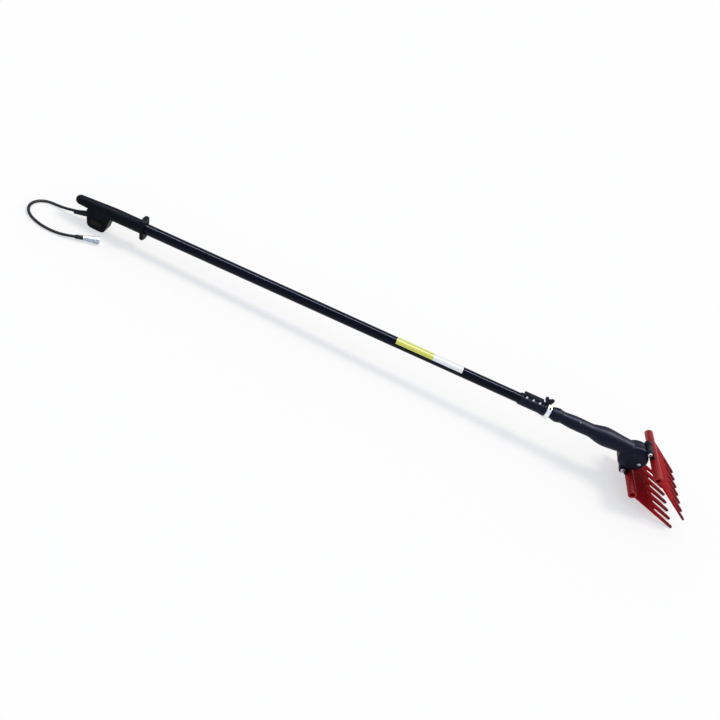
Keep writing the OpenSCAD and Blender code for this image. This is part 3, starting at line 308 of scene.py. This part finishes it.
def shadeTipsGlossSpines():
    tree = finishes["combRed"].node_tree
    bsdf = tree.nodes["Principled BSDF"]
    spot = objectSpot(tree)
    split = addNode(tree, "SeparateXYZ", {0: spot})
    # painted shade: the base colour darkens along X towards the comb tips
    tips = addNode(tree, "MapRange", {"Value": split.outputs["X"], "From Min": tipLook["from"],
                                      "From Max": tipLook["to"], "To Max": tipLook["share"]},
                   interpolation_type="SMOOTHSTEP")
    clean = bsdf.inputs["Base Color"].links[0].from_socket
    tipShaded = mixColors(tree, tips.outputs["Result"], clean, (*tipLook["color"], 1))
    feed(tree, bsdf, {"Base Color": tipShaded})
    flat = addNode(tree, "VectorMath", {0: spot, 1: (1, 0, 1)}, operation="MULTIPLY").outputs[0]
    near = []
    for axis in spineLook["axes"]:
        away = addNode(tree, "VectorMath", {0: flat, 1: axis}, operation="DISTANCE").outputs["Value"]
        near.append(mathOn(tree, "LESS_THAN", away, spineLook["reach"]))
    onSpine = mathOn(tree, "MAXIMUM", *near)
    for key, socket in (("rough", "Roughness"), ("shine", "Specular IOR Level")):
        blend = addNode(tree, "MapRange", {"Value": onSpine, "To Min": skinLooks["combRed"][key],
                                           "To Max": spineLook[key]})
        feed(tree, bsdf, {socket: blend.outputs["Result"]})


shadeTipsGlossSpines()

nodeFinish = {
    "gripBlack": ["grip_shell_near", "grip_shell_far"],
    "switchBlack": ["switch_body"],
    "rockerRed": ["switch_rocker"],
    "rubberBlack": ["strain_relief", "supply_cable", "plug_boot", "spiral_lead", "motor_lead"],
    "tubeGloss": ["outer_tube", "inner_tube"],
    "collarBlack": ["collar", "wing_screw"],
    "housingBlack": ["housing_near", "housing_far"],
    "armBlack": ["upper_rocker", "lower_rocker"],
    "insertBlack": ["plug_insert", "motor_end_bell"],
    "bushNatural": ["guide_bush"],
    "ringMetal": ["clamp_ring"],
    "plugMetal": ["plug_shell", "plug_nut"],
    "motorMetal": ["motor_can"],
    "yokeMetal": ["drive_yoke", "crown_gear"],
    "brassPlain": ["switch_terminals", "plug_pins", "drive_pinion", "pivot_bushes"],
    "boltSteel": ["grip_screws", "collar_bolts", "collar_nuts", "housing_screws", "grease_plug", "motor_shaft",
                  "crank_shaft", "crank_bearing", "guide_rod", "yoke_pins", "pivot_bolts", "pivot_nuts",
                  "upper_comb_bolts", "lower_comb_bolts"],
    "combRed": ["upper_comb", "lower_comb"],
}
for finish, names in nodeFinish.items():
    for name in names:
        nodes[name].data.materials.clear()
        nodes[name].data.materials.append(finishes[finish])
cableObj.data.materials.append(finishes["rubberBlack"])
print("finishes set")

# faces that meet at more than this many degrees stay sharp
sharpTurn = 35.0


def addPiece(name, bm, finish, body):
    mesh = bpy.data.meshes.new(name)
    for face in bm.faces:
        face.smooth = True
    bm.to_mesh(mesh)
    bm.free()
    mesh.set_sharp_from_angle(angle=radians(sharpTurn))
    mesh.materials.append(finish)
    obj = bpy.data.objects.new(name, mesh)
    scene.collection.objects.link(obj)
    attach(obj, body)
    return obj


# the switch box's long side edges: half width and how near to it, top of the stretch, rounding, least angle,
# and round places left alone (x, z, reach)
boxEdges = {"half": 0.0175, "near": 0.0001, "top": -0.003, "round": 0.0035, "segments": 4, "angle": 60.0,
            "spare": [(0.0735, -0.039, 0.019), (0.057, -0.052, 0.0045), (0.086, -0.052, 0.0045)]}

# mouldings whose edges are rounded: bevel in metres
softEdges = {
    "grip_shell_near": {"piece": "gripNear", "body": "pole", "slot": "grip", "bevel": 0.0005, "box": boxEdges},
    "grip_shell_far": {"piece": "gripFar", "body": "pole", "slot": "grip", "bevel": 0.0005, "box": boxEdges},
    "switch_body": {"piece": "switchFrame", "body": "pole", "slot": "switch", "bevel": 0.0005},
    "switch_rocker": {"piece": "switchPad", "body": "rocker_switch", "slot": "rocker_red", "bevel": 0.0006},
    "collar": {"piece": "splitCollar", "body": "pole", "slot": "collar", "bevel": 0.0006},
    "wing_screw": {"piece": "wingKnob", "body": "wing", "slot": "collar", "bevel": 0.0009},
    "housing_near": {"piece": "housingNear", "body": "head", "slot": "housing", "bevel": 0.0005},
    "housing_far": {"piece": "housingFar", "body": "head", "slot": "housing", "bevel": 0.0005},
    "upper_rocker": {"piece": "armUpper", "body": "upper", "slot": "rocker_arm", "bevel": 0.0007},
    "lower_rocker": {"piece": "armLower", "body": "lower", "slot": "rocker_arm", "bevel": 0.0007},
    "upper_comb": {"piece": "combUpper", "body": "upper", "slot": "comb_red", "bevel": 0.0018},
    "lower_comb": {"piece": "combLower", "body": "lower", "slot": "comb_red", "bevel": 0.0018},
}
# points closer than weld join, faces within flat degrees become one, edges over edge degrees are rounded
softening = {"weld": 0.000002, "flat": 0.4, "edge": 32.0, "segments": 2}


def isBent(edge, angle):
    return len(edge.link_faces) == 2 and edge.calc_face_angle(0) > radians(angle)


def roundEdges(bm, edges, size, segments):
    bmesh.ops.bevel(bm, geom=edges, offset=size, offset_type="OFFSET", affect="EDGES", segments=segments,
                    profile=0.5, material=-1, clamp_overlap=True)


def onBoxSide(edge, look, toPole):
    ends = [toPole @ v.co for v in edge.verts]
    mid = (ends[0] + ends[1]) / 2
    if any(abs(abs(p.y) - look["half"]) > look["near"] for p in ends) or mid.z > look["top"]:
        return False
    return not any(abs(mid.x - x) < reach and abs(mid.z - z) < reach for x, z, reach in look["spare"])


def softenEdges(node, look):
    bm = bmesh.new()
    bm.from_mesh(nodes[node].data)
    bmesh.ops.remove_doubles(bm, verts=bm.verts, dist=softening["weld"])
    bmesh.ops.dissolve_limit(bm, angle_limit=radians(softening["flat"]), verts=bm.verts, edges=bm.edges)
    if "box" in look:
        box = look["box"]
        toPole = poleMatrix.inverted()
        sides = [e for e in bm.edges if onBoxSide(e, box, toPole) and isBent(e, box["angle"])]
        roundEdges(bm, sides, box["round"], box["segments"])
    sharp = [e for e in bm.edges if isBent(e, softening["edge"])]
    roundEdges(bm, sharp, look["bevel"], softening["segments"])
    obj = addPiece(look["piece"], bm, nodes[node].data.materials[0], look["body"])
    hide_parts(node)


for node, look in softEdges.items():
    softenEdges(node, look)
print("mouldings softened")

# plain two-colour label on the tube: places along the pole, and angles from the top towards the near side
label = {"start": 0.968, "split": 1.084, "end": 1.178, "from": -19.0, "to": 72.0, "steps": 24,
         "proud": 0.00018, "thick": 0.00012}
labelLook = {"yellow": (0.70, 0.72, 0.11), "yellowDust": (0.4, 0.38, 0.3), "white": (0.88, 0.91, 0.90),
             "whiteDust": (0.45, 0.44, 0.42), "amount": 0.12, "patch": 70.0, "speck": 900.0,
             "grain": 300.0, "depth": 0.04, "rough": 0.32, "spread": 0.12, "drift": 40.0}


def labelMaterial():
    mat, tree, bsdf = newMaterial("labelFilm")
    split = addNode(tree, "SeparateXYZ", {0: objectSpot(tree)})
    edge = (poleMatrix @ Vector((label["split"], 0, 0))).x
    past = mathOn(tree, "GREATER_THAN", split.outputs["X"], edge)
    yellow, white = (dusted(tree, labelLook[part], labelLook[part + "Dust"], labelLook["amount"],
                            labelLook["patch"], labelLook["speck"]) for part in ("yellow", "white"))
    grain = addNode(tree, "Group", {"Scale": labelLook["grain"], "Depth": labelLook["depth"],
                                    "Gloss": labelLook["rough"], "Spread": labelLook["spread"],
                                    "Drift": labelLook["drift"]}, node_tree=grainGroup)
    feed(tree, bsdf, {"Base Color": mixColors(tree, past, yellow, white),
                      "Roughness": grain.outputs["Roughness"], "Normal": grain.outputs["Normal"]})
    return mat


def outward(face):
    middle = face.calc_center_median()
    return face.normal.dot(Vector((0, middle.y, middle.z)))


def makeLabel():
    bm = bmesh.new()
    radius = pole["radius"] + label["proud"]
    first = radians(label["from"])
    y, z = -radius * sin(first), radius * cos(first)
    ends = [bm.verts.new((x, y, z)) for x in (label["start"], label["end"])]
    line = bm.edges.new(ends)
    bmesh.ops.spin(bm, geom=[line] + ends, cent=(0, 0, 0), axis=(1, 0, 0),
                   angle=radians(label["to"] - label["from"]), steps=label["steps"])
    bmesh.ops.recalc_face_normals(bm, faces=bm.faces)
    if sum(outward(face) for face in bm.faces) < 0:
        bmesh.ops.reverse_faces(bm, faces=bm.faces)
    bmesh.ops.solidify(bm, geom=bm.faces[:], thickness=label["thick"])
    bm.transform(poleMatrix)
    addPiece("tubeLabel", bm, labelMaterial(), "pole")


makeLabel()
print("label laid")

# clamp ring: place along the pole, radius, how deep its screws sit, and their turns from the top
ring = {"middle": 1.455, "radius": 0.025, "sunk": 0.0004, "turns": (-2.0, 36.0)}


def onRing(turn):
    seat = ring["radius"] - ring["sunk"]
    return (ring["middle"], -sin(radians(turn)) * seat, cos(radians(turn)) * seat), turn


# fastener heads: places (x, y, z) in the pole's axes, each with its turn from straight up towards the near side
headScrews = {
    "collarHeads": {"body": "pole", "finish": "boltSteel", "radius": 0.0037, "height": 0.0029, "socket": 0.0017,
                    "places": [((x, -0.007, 0.0185), 90) for x in (1.3805, 1.4015, 1.4225)]},
    "pivotHeads": {"body": "head", "finish": "boltSteel", "radius": 0.0063, "height": 0.0035, "socket": 0.0028,
                   "places": [((1.77883, -0.025, 0.02465), 90), ((1.74917, -0.025, -0.06665), 90)]},
    "greaseHead": {"body": "head", "finish": "boltSteel", "radius": 0.0047, "height": 0.0026, "socket": 0.0022,
                   "places": [((1.77318, -0.027, -0.02188), 90)]},
    "ringSockets": {"body": "pole", "finish": "insertBlack", "radius": 0.0038, "height": 0.0012,
                    "socket": 0.0015, "places": [onRing(turn) for turn in ring["turns"]]},
}
# a head's rings (share of the height, shrink), and its hex socket's depth as a share of the height
headForm = {"sides": 28, "rings": ((0.6, 1.0), (0.3, 0.93), (0.1, 0.9)), "hex": 6, "deep": 0.55}


def circle(bm, radius, sides):
    verts = bmesh.ops.create_circle(bm, cap_ends=False, radius=radius, segments=sides)["verts"]
    return verts, list({e for v in verts for e in v.link_edges})


def pull(bm, loop, rise):
    grown = bmesh.ops.extrude_edge_only(bm, edges=loop)["geom"]
    verts = [g for g in grown if isinstance(g, bmesh.types.BMVert)]
    bmesh.ops.translate(bm, verts=verts, vec=(0, 0, rise))
    return verts, [g for g in grown if isinstance(g, bmesh.types.BMEdge) and all(v in verts for v in g.verts)]


def makeHeads(name, look):
    bm = bmesh.new()
    for spot, turn in look["places"]:
        old = set(bm.verts)
        loop = circle(bm, look["radius"], headForm["sides"])[1]
        for rise, shrink in headForm["rings"]:
            tops, loop = pull(bm, loop, look["height"] * rise)
            bmesh.ops.scale(bm, verts=tops, vec=(shrink, shrink, 1))
        hexVerts, hexLoop = circle(bm, look["socket"], headForm["hex"])
        bmesh.ops.translate(bm, verts=hexVerts, vec=(0, 0, look["height"]))
        bmesh.ops.bridge_loops(bm, edges=loop + hexLoop)
        bmesh.ops.contextual_create(bm, geom=pull(bm, hexLoop, -look["height"] * headForm["deep"])[1])
        made = [v for v in bm.verts if v not in old]
        seat = Matrix.Translation(spot) @ Matrix.Rotation(radians(turn), 4, "X")
        bmesh.ops.transform(bm, verts=made, matrix=seat)
    bmesh.ops.recalc_face_normals(bm, faces=bm.faces)
    bm.transform(poleMatrix)
    addPiece(name, bm, finishes[look["finish"]], look["body"])


for name, look in headScrews.items():
    makeHeads(name, look)
print("fastener heads set")

# floor, light and world
studio = {"floor": (1.0, 1.0, 1.0), "reach": 60.0, "drop": 0.0005, "glow": 0.54, "world": 0.73,
          "air": (0.80, 0.87, 1.0), "white": (1, 1, 1, 1)}
sun = {"power": 1.5, "size": 18.0, "color": (1.0, 0.88, 0.70), "from": (0.6, 0.35, 1.0)}
# a strip over the pole, seen in its gloss alone
strip = {"power": 150.0, "long": 4.0, "wide": 0.28, "place": (0.0, 0.28, 2.2)}


def floorMaterial():
    mat, tree = newMaterial("paleFloor")[:2]
    tree.nodes.clear()
    matte = addNode(tree, "BsdfDiffuse", {"Color": (*studio["floor"], 1)})
    glow = addNode(tree, "Emission", {"Color": studio["white"]})
    rays = addNode(tree, "LightPath", {}).outputs
    seen = mathOn(tree, "MAXIMUM", rays["Is Camera Ray"], rays["Is Glossy Ray"])
    share = mathOn(tree, "MULTIPLY", seen, studio["glow"])
    mix = addNode(tree, "MixShader", {"Fac": share, 1: matte.outputs[0], 2: glow.outputs[0]})
    addNode(tree, "OutputMaterial", {"Surface": mix.outputs[0]})
    return mat


def makeFloor():
    bm = bmesh.new()
    bmesh.ops.create_grid(bm, x_segments=1, y_segments=1, size=studio["reach"])
    bmesh.ops.translate(bm, verts=bm.verts, vec=(0, 0, -studio["drop"]))
    mesh = bpy.data.meshes.new("paleFloor")
    bm.to_mesh(mesh)
    bm.free()
    mesh.materials.append(floorMaterial())
    floor = bpy.data.objects.new("paleFloor", mesh)
    scene.collection.objects.link(floor)


def makeLamps():
    data = bpy.data.lights.new("keySun", "SUN")
    data.energy = sun["power"]
    data.angle = radians(sun["size"])
    data.color = sun["color"]
    lamp = bpy.data.objects.new("keySun", data)
    lamp.matrix_world = (-Vector(sun["from"])).to_track_quat("-Z", "Y").to_matrix().to_4x4()
    scene.collection.objects.link(lamp)
    data = bpy.data.lights.new("ceilingStrip", "AREA")
    data.shape = "RECTANGLE"
    data.energy = strip["power"]
    data.size, data.size_y = strip["long"], strip["wide"]
    lamp = bpy.data.objects.new("ceilingStrip", data)
    lamp.matrix_world = Matrix.Translation(strip["place"])
    lamp.visible_diffuse = False
    scene.collection.objects.link(lamp)


def makeWorld():
    world = bpy.data.worlds.new("studioAir")
    scene.world = world
    world.use_nodes = True
    tree = world.node_tree
    tree.nodes.clear()
    soft = addNode(tree, "Background", {"Color": (*studio["air"], 1), "Strength": studio["world"]})
    plain = addNode(tree, "Background", {"Color": studio["white"]})
    seen = addNode(tree, "LightPath", {}).outputs["Is Camera Ray"]
    mix = addNode(tree, "MixShader", {"Fac": seen, 1: soft.outputs[0], 2: plain.outputs[0]})
    addNode(tree, "OutputWorld", {"Surface": mix.outputs[0]})


makeFloor()
makeLamps()
makeWorld()
print("studio lit")

bpy.context.view_layer.update()
